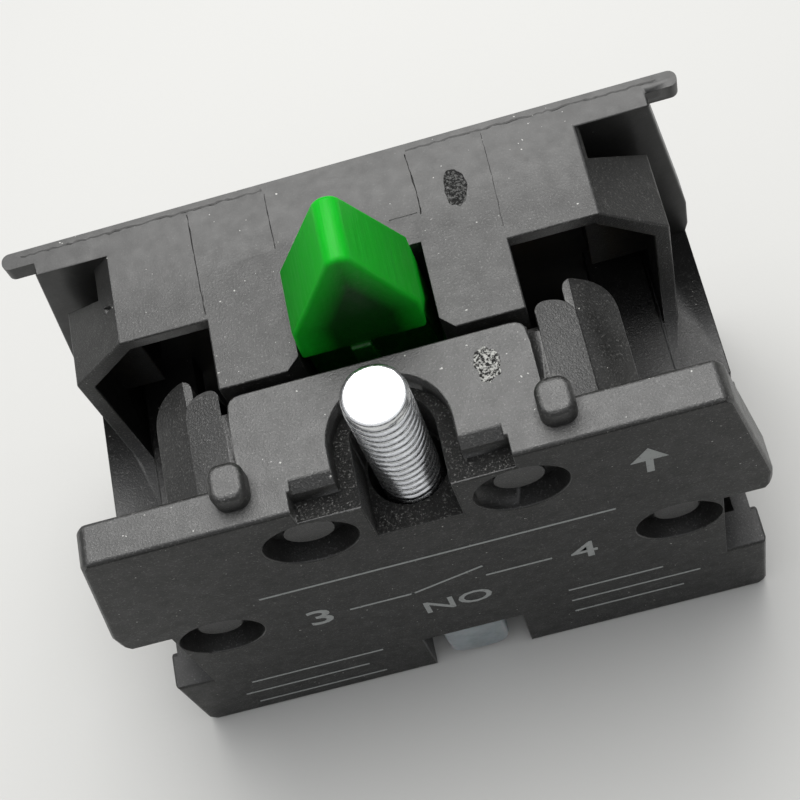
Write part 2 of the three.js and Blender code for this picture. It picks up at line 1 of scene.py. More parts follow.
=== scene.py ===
"""Looks of a push button's contact block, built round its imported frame.

The black shells, the green plunger, the screws, the springs and the clip are finer copies of the CAD
pieces: their edges are rounded, threads are cut, and moulding marks and a generic print are added.
All lengths in this file are millimetres and become metres when a mesh is stored.
"""
import math
import random

import bmesh
import bpy
from mathutils import Matrix, Vector, noise


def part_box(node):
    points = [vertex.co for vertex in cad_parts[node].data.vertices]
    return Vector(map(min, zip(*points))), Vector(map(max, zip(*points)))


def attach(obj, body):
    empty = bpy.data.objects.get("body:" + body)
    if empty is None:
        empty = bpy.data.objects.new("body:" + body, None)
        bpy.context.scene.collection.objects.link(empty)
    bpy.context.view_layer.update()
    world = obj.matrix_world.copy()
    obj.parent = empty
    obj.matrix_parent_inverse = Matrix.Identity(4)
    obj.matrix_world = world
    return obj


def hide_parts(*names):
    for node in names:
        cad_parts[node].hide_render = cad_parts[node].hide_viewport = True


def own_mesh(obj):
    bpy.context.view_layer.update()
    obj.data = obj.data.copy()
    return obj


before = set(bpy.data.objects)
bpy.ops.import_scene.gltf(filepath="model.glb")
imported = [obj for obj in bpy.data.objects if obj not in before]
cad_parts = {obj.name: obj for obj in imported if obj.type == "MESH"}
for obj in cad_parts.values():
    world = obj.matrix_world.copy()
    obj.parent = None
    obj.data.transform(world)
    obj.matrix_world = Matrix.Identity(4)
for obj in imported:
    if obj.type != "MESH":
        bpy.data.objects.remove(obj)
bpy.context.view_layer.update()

MM = 0.001
SIDES = (("left", -1), ("right", 1))


def box_mm(node):
    low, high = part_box(node)
    return low / MM, high / MM


HOUSING_LOW, HOUSING_HIGH = box_mm("rear_housing")
COVER_LOW, COVER_HIGH = box_mm("front_cover")
PLUNGER_LOW, PLUNGER_HIGH = box_mm("plunger")
SCREW_LOW, SCREW_HIGH = box_mm("mounting_screw")
TOP = HOUSING_HIGH.z               # the two shells' flat top
FRONT = COVER_LOW.y                # the cover plate's printed face
BACK = HOUSING_HIGH.y
EAR_DEPTH = 1.1                    # thickness of the two ears at the back edge
EAR_START = 17.4                   # where they leave the back plate, from the middle
WEDGE_HALF = 3.7                   # half the plunger's wedge at its foot
WEDGE_FOOT = 4.65                  # half its width at the shells' top if the flanks ran on from the ridge

# ---------------------------------------------------------------- camera

AIM = Vector((0, -3.845, TOP))     # on the cover's top, between the screw and the plunger
DISTANCE = 97.6
AZIMUTH, ELEVATION, ROLL = 11.43, 62.32, -25.09
LENS, SENSOR = 78.99, 36.0
SHIFT = (0.0288, -0.0298)


def make_camera():
    azimuth, elevation, roll = (math.radians(a) for a in (AZIMUTH, ELEVATION, ROLL))
    back = Vector((
        math.sin(azimuth) * math.cos(elevation),
        -math.cos(azimuth) * math.cos(elevation),
        math.sin(elevation),
    ))
    level = Vector((math.cos(azimuth), math.sin(azimuth), 0))
    right = level * math.cos(roll) + back.cross(level) * math.sin(roll)
    up = back.cross(right)
    data = bpy.data.cameras.new("camera")
    data.lens, data.sensor_width = LENS, SENSOR
    data.shift_x, data.shift_y = SHIFT
    data.clip_start, data.clip_end = 5 * MM, 5000 * MM
    camera = bpy.data.objects.new("camera", data)
    bpy.context.scene.collection.objects.link(camera)
    turn = Matrix((right, up, back)).transposed().to_4x4()
    camera.matrix_world = Matrix.Translation((AIM + back * DISTANCE) * MM) @ turn
    bpy.context.scene.camera = camera


# ---------------------------------------------------------------- stage and light

KEY_SIZE = 140                     # a square softbox behind and above the block
KEY_DISTANCE = 150
KEY_FROM = Vector((0.0, 0.38, 0.92))
KEY_POWER = 0.31
FILL_LOW, FILL_HIGH = 0.06, 1.05    # the room's brightness near the horizon and overhead


def make_stage(material):
    bm = bmesh.new()
    bmesh.ops.create_grid(bm, x_segments=1, y_segments=1, size=1500)
    floor = store(bm, "floor", material)


def area_light(name, toward, direction, distance, size, power, colour):
    data = bpy.data.lights.new(name, "AREA")
    data.shape = "SQUARE"
    data.size = size * MM
    data.energy = power
    data.color = colour
    light = bpy.data.objects.new(name, data)
    bpy.context.scene.collection.objects.link(light)
    direction = direction.normalized()
    light.location = (toward + direction * distance) * MM
    light.rotation_mode = "QUATERNION"
    light.rotation_quaternion = (-direction).to_track_quat("-Z", "Y")


def make_light():
    area_light("softbox", AIM, KEY_FROM, KEY_DISTANCE, KEY_SIZE, KEY_POWER, (1.0, 0.99, 0.97))
    world = bpy.data.worlds.new("studio")
    bpy.context.scene.world = world
    world.use_nodes = True
    background = world.node_tree.nodes["Background"]
    background.inputs["Color"].default_value = (0.97, 0.98, 1.0, 1)
    place = world.node_tree.nodes.new("ShaderNodeTexCoord")
    parts = world.node_tree.nodes.new("ShaderNodeSeparateXYZ")
    height = world.node_tree.nodes.new("ShaderNodeMapRange")
    for key, value in (("From Min", 0.35), ("From Max", 0.95), ("To Min", FILL_LOW), ("To Max", FILL_HIGH)):
        height.inputs[key].default_value = value
    world.node_tree.links.new(place.outputs["Generated"], parts.inputs[0])
    world.node_tree.links.new(parts.outputs["Z"], height.inputs["Value"])
    world.node_tree.links.new(height.outputs["Result"], background.inputs["Strength"])
    bpy.context.scene.view_settings.view_transform = "Standard"


# ---------------------------------------------------------------- materials


class Look:
    """A node material being built: a Principled shader fed by textures in the object's own millimetres."""

    def __init__(self, name, colour, roughness, metallic=0.0, **inputs):
        self.material = bpy.data.materials.new(name)
        self.material.use_nodes = True
        self.tree = self.material.node_tree
        self.shader = self.tree.nodes["Principled BSDF"]
        self.shader.inputs["Base Color"].default_value = (*colour, 1)
        self.shader.inputs["Roughness"].default_value = roughness
        self.shader.inputs["Metallic"].default_value = metallic
        for key, value in inputs.items():
            self.shader.inputs[key.replace("_", " ")].default_value = value
        place = self.tree.nodes.new("ShaderNodeTexCoord")
        scale = self.tree.nodes.new("ShaderNodeVectorMath")
        scale.operation = "SCALE"
        scale.inputs["Scale"].default_value = 1 / MM
        self.link(place.outputs["Object"], scale.inputs[0])
        self.place = scale.outputs[0]

    def link(self, source, target):
        self.tree.links.new(source, target)

    def node(self, kind, **inputs):
        made = self.tree.nodes.new(kind)
        for key, value in inputs.items():
            socket = made.inputs[int(key[1:])] if key[0] == "i" and key[1:].isdigit() else made.inputs[key]
            if isinstance(value, bpy.types.NodeSocket):
                self.link(value, socket)
            else:
                socket.default_value = value
        return made

    def noise(self, per_mm, detail=2.0, rough=0.5, stretch=None):
        place = self.place
        if stretch:
            stretched = self.node("ShaderNodeVectorMath", i0=place, i1=stretch)
            stretched.operation = "MULTIPLY"
            place = stretched.outputs[0]
        made = self.node("ShaderNodeTexNoise", Vector=place, Scale=per_mm, Detail=detail, Roughness=rough)
        return made.outputs["Fac"]

    def ramp(self, value, low, high, from_value=0.0, to_value=1.0):
        made = self.tree.nodes.new("ShaderNodeMapRange")
        self.link(value, made.inputs["Value"])
        ends = {"From Min": low, "From Max": high, "To Min": from_value, "To Max": to_value}
        for key, number in ends.items():
            made.inputs[key].default_value = number
        return made.outputs["Result"]

    def mix(self, factor, first, second):
        made = self.tree.nodes.new("ShaderNodeMix")
        made.data_type = "RGBA"
        self.link(factor, made.inputs["Factor"])
        for socket, value in ((made.inputs[6], first), (made.inputs[7], second)):
            if isinstance(value, bpy.types.NodeSocket):
                self.link(value, socket)
            else:
                socket.default_value = (*value, 1)
        return made.outputs[2]

    def multiply(self, first, second):
        made = self.node("ShaderNodeMath", i0=first, i1=second)
        made.operation = "MULTIPLY"
        return made.outputs[0]

    def math(self, operation, first, second):
        made = self.node("ShaderNodeMath", i0=first, i1=second)
        made.operation = operation
        return made.outputs[0]

    def along(self, axis):
        made = self.node("ShaderNodeSeparateXYZ", i0=self.place)
        return made.outputs[axis]

    def colour(self, socket):
        self.link(socket, self.shader.inputs["Base Color"])

    def roughness(self, socket):
        self.link(socket, self.shader.inputs["Roughness"])

    def bump(self, height, depth_mm, strength=1.0):
        made = self.node("ShaderNodeBump", Height=height, Strength=strength, Distance=depth_mm * MM)
        previous = self.shader.inputs["Normal"].links
        if previous:
            self.link(previous[0].from_socket, made.inputs["Normal"])
        self.link(made.outputs["Normal"], self.shader.inputs["Normal"])


def black_plastic(
    name, grain, colour=(0.012, 0.012, 0.0115), dusty=True, shine=0.62, roughness=0.41, glint=9,
):
    look = Look(name, colour, roughness, Specular_IOR_Level=shine)
    mottle = look.noise(0.35, 4.0, 0.6)
    # The grain is coarse towards the cover plate and fades towards the back edge
    fine = look.noise(7.5, 3.0, 0.75)
    darker, paler, painted_glint_tone = (tuple(c * share for c in colour) for share in (0.8, 1.3, glint))
    shade = look.mix(look.ramp(mottle, 0.35, 0.68), darker, paler)
    fade = look.ramp(look.along("Y"), 4.0, 8.0, 1.0, 0.2)
    # Painted glints: where the grain is coarse, specks at glint times the base colour stand in for light
    # glinting off it
    shade = look.mix(look.multiply(look.ramp(fine, 0.56, 0.70), fade), shade, painted_glint_tone)
    if dusty:
        speck = look.ramp(look.noise(4.2, 1.0, 0.4), 0.79, 0.81)
        shade = look.mix(speck, shade, (0.40, 0.40, 0.38))
        rubbed = look.ramp(look.noise(0.5, 5.0, 0.7, (1.0, 1.0, 0.4)), 0.60, 0.85, 0.0, 0.35)
        shade = look.mix(look.multiply(rubbed, fine), shade, (0.16, 0.16, 0.155))
    look.colour(shade)
    look.roughness(look.ramp(look.noise(1.1, 3.0, 0.6), 0.3, 0.7, roughness - 0.05, roughness + 0.05))
    look.bump(fine, 0.034 * grain, fade)
    look.bump(look.noise(0.5, 2.0, 0.5), 0.03)
    return look.material


def torn_plastic(name, dark, light, level):
    look = Look(name, dark, 0.6, Specular_IOR_Level=0.3)
    torn = look.noise(4.5, 4.0, 0.75)
    look.colour(look.mix(look.ramp(torn, level - 0.03, level + 0.05), dark, light))
    look.bump(torn, 0.15)
    return look.material


def green_plastic():
    green, pale, painted_shade_green = (0.005, 0.36, 0.014), (0.008, 0.38, 0.020), (0.002, 0.045, 0.003)
    look = Look(
        "plunger_green", green, 0.42,
        Subsurface_Weight=0.5, Subsurface_Scale=0.55 * MM, Specular_IOR_Level=0.15,
    )
    look.shader.inputs["Subsurface Radius"].default_value = (0.12, 1.0, 0.15)
    flow = look.noise(0.9, 3.0, 0.6, (1.6, 0.25, 0.5))
    shade = look.mix(look.ramp(flow, 0.35, 0.7), green, pale)
    # Painted shade: the middle of the near face, which gets no direct light, is darkened to deep green;
    # light that enters the clear plastic shows only at its rim
    flanks = look.ramp(look.along("Z"), TOP, PLUNGER_HIGH.z + 0.8, WEDGE_FOOT, 0.0)
    half = look.math("MINIMUM", flanks, WEDGE_HALF)
    inside = look.math("SUBTRACT", half, look.math("ABSOLUTE", look.along("X"), 0.0))
    core = look.ramp(inside, 0.3, 2.0)
    near = look.ramp(look.along("Y"), PLUNGER_LOW.y + 1.05, PLUNGER_LOW.y + 0.85)
    shade = look.mix(look.multiply(core, near), shade, painted_shade_green)
    # Painted shade: below the shells' top, where light doesn't reach the stem in its guide, the green is
    # darkened as well
    shade = look.mix(look.ramp(look.along("Z"), TOP - 0.5, TOP - 1.3), shade, painted_shade_green)
    look.colour(shade)
    look.roughness(look.ramp(look.noise(3.0, 2.0, 0.5, (1.0, 0.15, 1.0)), 0.3, 0.7, 0.34, 0.5))
    look.bump(look.noise(2.2, 2.0, 0.6, (1.6, 0.12, 1.0)), 0.03)
    look.bump(look.noise(9.0, 2.0, 0.5), 0.006)
    return look.material


def white_nylon():
    # Painted shade: the clip's light grey-blue nylon is darkened to mid grey, as the clip sits in shade; the
    # cloudy variation is the nylon's own
    look = Look("clip_nylon", (0.30, 0.34, 0.36), 0.42, Subsurface_Weight=0.3, Subsurface_Scale=1.2 * MM)
    cloudy = look.noise(0.8, 3.0, 0.6)
    look.colour(look.mix(look.ramp(cloudy, 0.3, 0.7), (0.25, 0.29, 0.31), (0.36, 0.40, 0.42)))
    look.roughness(look.ramp(look.noise(4.0), 0.3, 0.7, 0.35, 0.5))
    look.bump(look.noise(6.0), 0.012)
    return look.material


def metal(name, colour, roughness, scratch=0.01, tarnish=None):
    look = Look(name, colour, roughness, metallic=1.0)
    patches = look.noise(0.8, 4.0, 0.6)
    darker = tarnish or tuple(c * 0.82 for c in colour)
    look.colour(look.mix(look.ramp(patches, 0.35, 0.75), colour, darker))
    fine = look.noise(5.0, 3.0, 0.6, (1.0, 1.0, 4.0))
    look.roughness(look.ramp(fine, 0.3, 0.7, roughness * 0.75, roughness * 1.35))
    look.bump(fine, scratch)
    return look.material


def print_ink():
    look = Look("print_ink", (0.30, 0.315, 0.31), 0.6)
    worn = look.ramp(look.noise(5.5, 3.0, 0.7), 0.28, 0.42)
    look.colour(look.mix(worn, (0.12, 0.125, 0.125), (0.34, 0.355, 0.35)))
    look.bump(look.noise(6.0), 0.01)
    return look.material


def paper():
    look = Look("pale_floor", (0.62, 0.62, 0.605), 0.9, Specular_IOR_Level=0.2)
    look.colour(look.mix(look.noise(0.02, 3.0), (0.615, 0.615, 0.60), (0.625, 0.625, 0.61)))
    look.bump(look.noise(1.5, 3.0), 0.01)
    return look.material


# ---------------------------------------------------------------- mesh helpers


def store(bm, name, material, smooth=True):
    """Scales a mesh in millimetres to metres and puts it in the scene."""
    bmesh.ops.scale(bm, vec=Vector((MM, MM, MM)), verts=bm.verts)
    for face in bm.faces:
        face.smooth = smooth
    mesh = bpy.data.meshes.new(name)
    bm.to_mesh(mesh)
    bm.free()
    made = bpy.data.objects.new(name, mesh)
    bpy.context.scene.collection.objects.link(made)
    made.data.materials.append(material)
    return made


def finished(obj, sharp=50):
    """Applies the modifiers, and shades the result smooth apart from its sharp edges."""
    depsgraph = bpy.context.evaluated_depsgraph_get()
    mesh = bpy.data.meshes.new_from_object(obj.evaluated_get(depsgraph))
    obj.modifiers.clear()
    obj.data = mesh
    mesh.shade_smooth()
    mesh.set_sharp_from_angle(angle=math.radians(sharp))
    weigh = obj.modifiers.new("even_normals", "WEIGHTED_NORMAL")
    weigh.keep_sharp = True
    return obj


def cad_copy(node):
    """A CAD node's mesh in millimetres, with its flat faces whole again."""
    bm = bmesh.new()
    bm.from_mesh(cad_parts[node].data)
    bmesh.ops.scale(bm, vec=Vector((1 / MM,) * 3), verts=bm.verts)
    bmesh.ops.remove_doubles(bm, verts=bm.verts, dist=0.002)
    bmesh.ops.dissolve_limit(bm, angle_limit=math.radians(0.5), verts=bm.verts, edges=bm.edges)
    return bm


def room_at(edge, width):
    """How wide an edge can be rounded before it meets a neighbour that isn't its own continuation."""
    along = (edge.verts[1].co - edge.verts[0].co).normalized()
    room = width
    for vert in edge.verts:
        for other in vert.link_edges:
            if other is edge:
                continue
            direction = (other.other_vert(vert).co - vert.co).normalized()
            if abs(direction.dot(along)) < 0.8:
                room = min(room, 0.42 * other.calc_length())
    return room


def beside_mark(edge):
    """Whether one of the edge's faces is the shallow wall of a line cut into the shells' top."""
    heights = [[vert.co.z for vert in face.verts] for face in edge.link_faces]
    return any(abs(max(z) - TOP) < 0.01 and 0.01 < max(z) - min(z) < 0.25 for z in heights)


def soften(bm, widest, width_of, least_angle=28, segments=3):
    """Marks each convex edge with its rounding, and returns what adds the bevel to the stored object."""
    weight = bm.edges.layers.float.new("bevel_weight_edge")
    for edge in bm.edges:
        if beside_mark(edge):
            continue
        if len(edge.link_faces) != 2 or edge.calc_face_angle_signed(0) < math.radians(least_angle):
            continue
        room = room_at(edge, width_of((edge.verts[0].co + edge.verts[1].co) / 2))
        edge[weight] = room / widest if room > 0.015 else 0

    def bevel(obj):
        modifier = obj.modifiers.new("rounded_edges", "BEVEL")
        modifier.limit_method = "WEIGHT"
        modifier.width = widest * MM
        modifier.segments = segments
        modifier.use_clamp_overlap = False
        return obj
    return bevel


def smooth_cad_copy(node, name, material, body, widest, width_of, change=None):
    bm = cad_copy(node)
    if change:
        change(bm)
    bevel = soften(bm, widest, width_of)
    piece = bevel(store(bm, name, material))
    finished(piece)
    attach(piece, body)
    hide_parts(node)
    return piece


def prism(bm, outline, axis, low, high):
    """A closed prism on a flat outline of (a, b) points, between two heights along an axis."""
    def point(a, b, c):
        return {"x": (c, a, b), "y": (a, c, b), "z": (a, b, c)}[axis]
    bottom = [bm.verts.new(point(a, b, low)) for a, b in outline]
    top = [bm.verts.new(point(a, b, high)) for a, b in outline]
    faces = [bm.faces.new(bottom), bm.faces.new(top)]
    for i in range(len(outline)):
        j = (i + 1) % len(outline)
        faces.append(bm.faces.new((bottom[i], bottom[j], top[j], top[i])))
    bmesh.ops.recalc_face_normals(bm, faces=faces)


def ragged_line(bm, points, width, low, high, rng, wander=0.05, step=0.35):
    """A thin closed strip that follows a path with an uneven course and width."""
    left, right = [], []
    for start, end in zip(points, points[1:]):
        a, b = Vector(start), Vector(end)
        count = max(2, round((b - a).length / step))
        side = Vector((a.y - b.y, b.x - a.x)).normalized()
        for k in range(count + (end == points[-1])):
            middle = a.lerp(b, k / count) + side * rng.uniform(-wander, wander)
            half = width / 2 * rng.uniform(0.6, 1.4)
            left.append(middle + side * half)
            right.append(middle - side * half)
    prism(bm, [tuple(p) for p in left + right[::-1]], "z", low, high)


def cut(bm, cutter_bm):
    """Cuts the closed shapes in one mesh out of another."""
    plain = bpy.data.materials.new("plain")
    body, cutter = store(bm, "body", plain), store(cutter_bm, "cutter", plain)
    modifier = body.modifiers.new("cut", "BOOLEAN")
    modifier.operation = "DIFFERENCE"
    modifier.solver = "EXACT"
    modifier.object = cutter
    mesh = bpy.data.meshes.new_from_object(body.evaluated_get(bpy.context.evaluated_depsgraph_get()))
    result = bmesh.new()
    result.from_mesh(mesh)
    bmesh.ops.scale(result, vec=Vector((1 / MM,) * 3), verts=result.verts)
    for made in (body, cutter):
        old = made.data
        bpy.data.objects.remove(made)
        bpy.data.meshes.remove(old)
    bpy.data.meshes.remove(mesh)
    bpy.data.materials.remove(plain)
    return result


# ---------------------------------------------------------------- black shells


def housing_width(middle):
    if middle.y < HOUSING_LOW.y + 0.1 and abs(middle.x) < 9 and 24 < middle.z < TOP - 0.1:
        return 0.03
    if middle.y > BACK - 0.1 or (middle.y > BACK - EAR_DEPTH - 0.1 and abs(middle.x) > EAR_START):
        return 0
    if middle.z > TOP - 0.1 and abs(middle.x) < 5.2 and middle.y < 4:
        return 0.05
    if middle.y < FRONT + 2:
        return 0.35
    return 0.12


def round_ears(cutter_bm):
    """Cutters that round the four corners of the two ears, seen from above."""
    radius = 0.5
    reach = 0.3
    for _, side in SIDES:
        for face_y, inward in ((BACK, -1), (BACK - EAR_DEPTH, 1)):
            middle_x = side * (HOUSING_HIGH.x - radius)
            middle_y = face_y + inward * radius
            turns = [math.pi / 2 * k / 6 for k in range(7)]
            outline = [
                (middle_x + side * radius * math.sin(a), middle_y - inward * radius * math.cos(a))
                for a in turns
            ]
            outer_x = side * (HOUSING_HIGH.x + reach)
            outer_y = face_y - inward * reach
            outline += [(outer_x, middle_y), (outer_x, outer_y), (middle_x, outer_y)]
            prism(cutter_bm, outline, "z", TOP - 1.4, TOP + 0.2)


def refinish(obj, material, where):
    """Gives another material to the faces whose middle and normal, in millimetres, pass a test."""
    obj.data.materials.append(material)
    slot = len(obj.data.materials) - 1
    for face in obj.data.polygons:
        if where(face.center / MM, face.normal):
            face.material_index = slot


def make_housing(material):
    bm = cad_copy("rear_housing")

    # Witness lines of the mould's inserts, and the parting line just inside the back edge
    rng = random.Random(3)
    lines = bmesh.new()
    depth = TOP - 0.12
    over = TOP + 0.2
    seam_far = BACK - 0.45
    for points, width in (
        ([(-9.0, 2.9), (-9.05, 6.0), (-9.1, seam_far - 0.25)], 0.07),
        ([(-4.25, 5.95), (-4.3, seam_far - 0.25)], 0.055),
        ([(4.5, 5.6), (4.55, 7.2), (4.35, seam_far - 0.25)], 0.07),
        ([(2.6, 5.75), (4.3, 5.75)], 0.06),
        ([(8.9, 3.4), (9.0, 6.5), (9.0, seam_far - 0.25)], 0.03),
    ):
        ragged_line(lines, points, width, depth, over, rng, wander=0.025)
    for points in ([(-19.6, seam_far), (-4.4, seam_far)], [(4.45, seam_far), (19.6, seam_far)]):
        ragged_line(lines, points, 0.13, TOP - 0.18, over, rng, wander=0.06, step=0.3)
    # Small step and notch at the left hood's corner
    prism(lines, [(-15.9, 5.0), (-15.2, 5.0), (-15.2, 5.75), (-15.9, 5.75)], "z", TOP - 0.5, over)
    prism(lines, [(-15.1, 5.15), (-14.55, 5.2), (-14.65, 5.45), (-15.1, 5.6)], "z", TOP - 0.9, over)
    round_ears(lines)
    bm = cut(bm, lines)
    bevel = soften(bm, 0.35, housing_width)
    piece = finished(bevel(store(bm, "housing_shell", material)))
    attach(piece, "shell")
    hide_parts("rear_housing")
    return piece


def cover_width(middle):
    if middle.z > TOP + 0.2:
        return 0.42
    outer = abs(middle.x) > 18.1 or middle.z < 0.05 or (middle.z > TOP - 0.1 and abs(middle.x) > 6.3)
    if 13 < middle.z < 19 and abs(middle.x) > 16.3:
        return 0.04
    if middle.y < FRONT + 2.7 and outer:
        return 0.38
    if middle.y < FRONT + 0.1 or middle.z > TOP - 0.1:
        return 0.12
    return 0.05


def is_printed_face(middle, normal):
    return normal.y < -0.8 and middle.y < FRONT + 0.5


def is_eroded(middle, normal):
    """Whether a face is a floor or a wall of the arched recess about the screw."""
    if abs(middle.x) >= 3.8 or middle.y >= -3 or middle.z <= TOP - 7:
        return False
    floor = normal.z > 0.8 and middle.z < TOP - 0.8
    wall = abs(normal.z) < 0.3 and normal.y > -0.8 and middle.z < TOP - 2
    return floor or wall


def make_cover(material, face_material, eroded_material):
    bm = cad_copy("front_cover")
    bevel = soften(bm, 0.45, cover_width)
    piece = finished(bevel(store(bm, "cover_shell", material)))
    refinish(piece, face_material, is_printed_face)
    refinish(piece, eroded_material, is_eroded)
    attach(piece, "shell")
    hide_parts("front_cover")
    return piece


def rough_patch(name, x, y, z, half_x, half_y, height, material, seed):
    """Torn plastic where a gate or an ejector stood: a low heap of jagged grains."""
    bm = bmesh.new()
    rings, steps = 14, 40
    rows = [[bm.verts.new((x, y, z + height * 0.6))]]
    for ring in range(1, rings + 1):
        share = ring / rings
        row = []
        for k in range(steps):
            angle = 2 * math.pi * k / steps
            edge = 1 + 0.30 * noise.noise(Vector((math.cos(angle) * 1.9, math.sin(angle) * 1.9, seed)))
            px = x + half_x * share * edge * math.cos(angle)
            py = y + half_y * share * edge * math.sin(angle)
            jag = noise.noise(Vector((px * 6.5, py * 6.5, seed * 3.1)))
            row.append(bm.verts.new((px, py, z + (height * (0.55 + 0.9 * jag) if ring < rings else -0.05))))
        rows.append(row)
    for k in range(steps):
        bm.faces.new((rows[0][0], rows[1][k], rows[1][(k + 1) % steps]))
        for inner, outer in zip(rows[1:], rows[2:]):
            bm.faces.new((inner[k], outer[k], outer[(k + 1) % steps], inner[(k + 1) % steps]))
    bm.faces.new(rows[-1][::-1])
    bmesh.ops.recalc_face_normals(bm, faces=bm.faces)
    piece = store(bm, name, material, smooth=False)
    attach(piece, "shell")


# ---------------------------------------------------------------- plunger and clip


def lean(bm):
    """Tips the wedge a little to one side, by the play that it has in its guide."""
    for vert in bm.verts:
        share = min(1.0, max(0.0, (vert.co.z - TOP + 4) / 3.5))
        vert.co.x -= 0.044 * share * (PLUNGER_HIGH.z - vert.co.z)


def plunger_width(middle):
    if middle.z > TOP - 0.5:
        return 0.3 if middle.y < PLUNGER_LOW.y + 1.5 or middle.y > PLUNGER_HIGH.y - 0.6 else 0.15
    return 0.12


def clip_width(middle):
    return 0.3 if middle.y < FRONT + 0.5 else 0.12


# ---------------------------------------------------------------- threads and springs


def turned_rows(rows, x, y, steps):
    """A closed body about a vertical axis from (height, radius or radius at an angle) rows."""
    bm = bmesh.new()
    made = []
    for height, radius in rows:
        row = []
        for k in range(steps):
            angle = 2 * math.pi * k / steps
            r = radius(angle) if callable(radius) else radius
            row.append(bm.verts.new((x + r * math.cos(angle), y + r * math.sin(angle), height)))
        made.append(row)
    for lower, upper in zip(made, made[1:]):
        for k in range(steps):
            j = (k + 1) % steps
            bm.faces.new((lower[k], lower[j], upper[j], upper[k]))
    for row, end in ((made[0], 1), (made[-1], -1)):
        centre = bm.verts.new((x, y, row[0].co.z))
        for k in range(steps):
            j = (k + 1) % steps
            bm.faces.new((centre, row[j], row[k]) if end == 1 else (centre, row[k], row[j]))
    return bm


def thread_rows(low, high, radius, depth, pitch, run_in=0.5):
    """Rows of a right-hand thread that fades in at its start."""
    rows = []
    count = round((high - low) / (pitch / 9))
    for k in range(count + 1):
        height = low + (high - low) * k / count
        crest = min(1.0, (height - low) / run_in + 0.15)

        def at(angle, height=height, crest=crest):
            turn = ((height / pitch) - angle / (2 * math.pi)) % 1.0
            ridge = min(1.0, max(0.0, 1.35 * (1 - abs(2 * turn - 1)) - 0.12))
            return radius - depth + depth * ridge * crest
        rows.append((height, at))
    return rows


def make_bolt(node, name, material, body, head, head_radius, waist, thread, radius, pitch):
    """A screw with a real thread, a rounded head and a driver slot; head and thread are height ranges."""
    low, high = box_mm(node)
    x, y = (low.x + high.x) / 2, (low.y + high.y) / 2
    depth = 0.6 * pitch
    tip = high.z
    rows = [(head[0], head_radius - 0.45), (head[0] + 0.08, head_radius - 0.2), (head[0] + 0.3, head_radius)]
    rows += [(head[1] - 0.12, head_radius), (head[1], head_radius - 0.12), (head[1], waist)]
    rows += [(thread[0], waist)]
    # The thread stops at a short plain end with a small chamfer
    plain_end = 0.55
    end_radius = radius - 0.06
    rows += thread_rows(thread[0], tip - plain_end, radius, depth, pitch)
    rows += [(tip - plain_end + 0.05, end_radius), (tip - 0.14, end_radius)]
    rows += [(tip - 0.05, end_radius - 0.08), (tip, end_radius - 0.28)]
    bm = turned_rows(rows, x, y, 44)

    half, reach, arm = 0.4, head_radius + 0.3, head_radius * 0.62
    quarter = [(reach, -half), (reach, half), (half, half), (half, arm)]
    outline = [(x + a, y + b) for a, b in quarter + [(-a, b) for a, b in quarter[::-1]]]
    outline += [(x + a, y + b) for a, b in [(-half, -half), (-half, -arm), (half, -arm), (half, -half)]]
    cutter_bm = bmesh.new()
    prism(cutter_bm, outline, "z", head[0] - 1, head[0] + 1.1)
    piece = store(cut(bm, cutter_bm), name, material)
    piece.data.set_sharp_from_angle(angle=math.radians(60))
    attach(piece, body)
    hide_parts(node)


def make_spring(node, name, material, body, wire, turns):
    """A compression spring of round wire with closed ends, in the space that its CAD node holds."""
    low, high = box_mm(node)
    x, y = (low.x + high.x) / 2, (low.y + high.y) / 2
    coil = (high.x - low.x) / 2 - wire
    start, rise = low.z + wire, high.z - low.z - 2 * wire
    closed, steps, sides = 0.12, turns * 36, 10
    bm = bmesh.new()
    rings = []
    for k in range(steps + 1):
        t = k / steps
        angle = 2 * math.pi * turns * t
        lift = min(1.0, max(0.0, (t - closed) / (1 - 2 * closed)))
        ends = min(1.0, t / closed) + max(0.0, (t - 1 + closed) / closed)
        height = start + lift * (rise - 4.2 * wire) + 2.1 * wire * ends
        out = Vector((math.cos(angle), math.sin(angle), 0))
        middle = Vector((x, y, height))
        rings.append([
            bm.verts.new(middle + out * (coil + wire * math.cos(a)) + Vector((0, 0, wire * math.sin(a))))
            for a in (2 * math.pi * s / sides for s in range(sides))
        ])
    for first, second in zip(rings, rings[1:]):
        for s in range(sides):
            bm.faces.new((first[s], second[s], second[(s + 1) % sides], first[(s + 1) % sides]))
    bm.faces.new(rings[0])
    bm.faces.new(rings[-1][::-1])
    bmesh.ops.recalc_face_normals(bm, faces=bm.faces)
    piece = store(bm, name, material)
    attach(piece, body)
    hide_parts(node)
    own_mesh(piece)


# ---------------------------------------------------------------- print

INK_THICKNESS = 0.015


def bar(bm, left, right, low, high):
    """A block of ink between two widths and two heights."""
    outline = [(left, low), (right, low), (right, high), (left, high)]
    prism(bm, outline, "y", FRONT - INK_THICKNESS, FRONT + 0.05)


def stroke(bm, points, width):
    """A line of ink through (x, z) points."""
    for (ax, az), (bx, bz) in zip(points, points[1:]):
        a, b = Vector((ax, az)), Vector((bx, bz))
        along = (b - a).normalized() * width / 2
        side = Vector((-along.y, along.x))
        corners = [a - along + side, b + along + side, b + along - side, a - along - side]
        prism(bm, [tuple(c) for c in corners], "y", FRONT - INK_THICKNESS, FRONT + 0.05)


